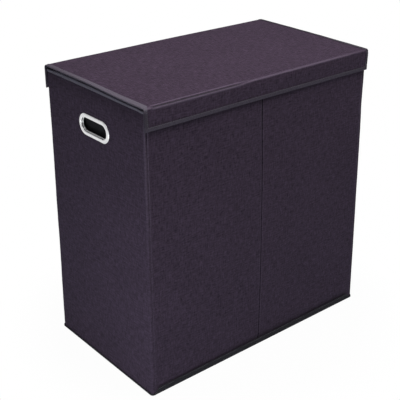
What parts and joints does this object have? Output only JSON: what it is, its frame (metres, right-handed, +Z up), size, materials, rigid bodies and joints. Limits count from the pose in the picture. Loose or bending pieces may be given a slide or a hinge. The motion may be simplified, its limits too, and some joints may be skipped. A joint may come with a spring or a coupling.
{
  "type": "laundry hamper",
  "caption": "Free-standing fabric-covered laundry hamper with side-by-side lift-out liner bags, a creased lid with drop lips, and oval grommet hand holes.",
  "frame": {"origin": "centre of the hamper's footprint, on the surface that it stands on", "axes": "+Z up, +X to the hamper's right end seen from its front, front along -Y, the lid's main crease at the back along +Y"},
  "size_m": [0.625, 0.3572, 0.6511],
  "materials": {
    "cover_cloth": "coarse woven, dark aubergine",
    "binding_tape": "flat woven, dark grey",
    "base_band_cloth": "flat woven, near black",
    "lining_cloth": "non-woven, near black",
    "bag_cloth": "plain woven, charcoal",
    "webbing": "herringbone woven, dark grey",
    "hook_and_loop": "napped, black",
    "stiffener_board": "raw pressed fibre board",
    "ring_metal": "satin nickel plate"
  },
  "bodies": {
    "body": {"base_cloth": "base_band_cloth", "base_band": "base_band_cloth", "floor_board": "stiffener_board", "floor_cloth": "lining_cloth", "left_cover": "cover_cloth", "left_wall_board": "stiffener_board", "left_lining": "lining_cloth", "left_handle_outer_ring": "ring_metal", "left_handle_inner_ring": "ring_metal", "right_cover": "cover_cloth", "right_wall_board": "stiffener_board", "right_lining": "lining_cloth", "right_handle_outer_ring": "ring_metal", "right_handle_inner_ring": "ring_metal", "front_cover": "cover_cloth", "front_left_board": "stiffener_board", "front_right_board": "stiffener_board", "front_lining": "lining_cloth", "back_cover": "cover_cloth", "back_left_board": "stiffener_board", "back_right_board": "stiffener_board", "back_lining": "lining_cloth", "rim_tape": "binding_tape", "front_lining_loop_strip": "hook_and_loop", "back_lining_loop_strip": "hook_and_loop", "back_lip_cover": "cover_cloth", "back_lip_board": "stiffener_board", "back_lip_lining": "lining_cloth", "back_lip_tape": "binding_tape", "back_left_loop_strip": "hook_and_loop", "back_left_hook_strip": "hook_and_loop", "back_right_loop_strip": "hook_and_loop", "back_right_hook_strip": "hook_and_loop", "left_bag": "bag_cloth", "left_bag_tape": "binding_tape", "left_bag_front_strap": "webbing", "left_bag_back_strap": "webbing", "left_bag_front_hook_patch": "hook_and_loop", "left_bag_back_hook_patch": "hook_and_loop", "right_bag": "bag_cloth", "right_bag_tape": "binding_tape", "right_bag_front_strap": "webbing", "right_bag_back_strap": "webbing", "right_bag_front_hook_patch": "hook_and_loop", "right_bag_back_hook_patch": "hook_and_loop"},
    "rear_crease": {"rear_crease_cloth": "cover_cloth"},
    "lid": {"lid_cover": "cover_cloth", "lid_board": "stiffener_board", "lid_lining": "lining_cloth", "lid_left_tape": "binding_tape", "lid_right_tape": "binding_tape"},
    "front_lip": {"front_lip_cover": "cover_cloth", "front_lip_board": "stiffener_board", "front_lip_lining": "lining_cloth", "front_lip_tape": "binding_tape", "front_crease_cloth": "cover_cloth"}
  },
  "joints": [
    {"name": "lid_crease_lower", "type": "hinge", "parent": "body", "child": "rear_crease", "pos_m": [0, 0.1778, 0.6452], "axis": [-1, 0, 0], "range_deg": [0, 127.5], "deforming": ["rear_crease_cloth"]},
    {"name": "lid_crease_upper", "type": "hinge", "parent": "rear_crease", "child": "lid", "pos_m": [0, 0.1728, 0.6502], "axis": [-1, 0, 0], "range_deg": [0, 127.5]},
    {"name": "front_lip_crease", "type": "hinge", "parent": "lid", "child": "front_lip", "pos_m": [0, -0.17653, 0.64913], "axis": [-1, 0, 0], "range_deg": [0, 90], "deforming": ["front_crease_cloth"]}
  ],
  "couplings": [
    {"joint": "lid_crease_upper", "follows": "lid_crease_lower", "ratio": 1}
  ]
}
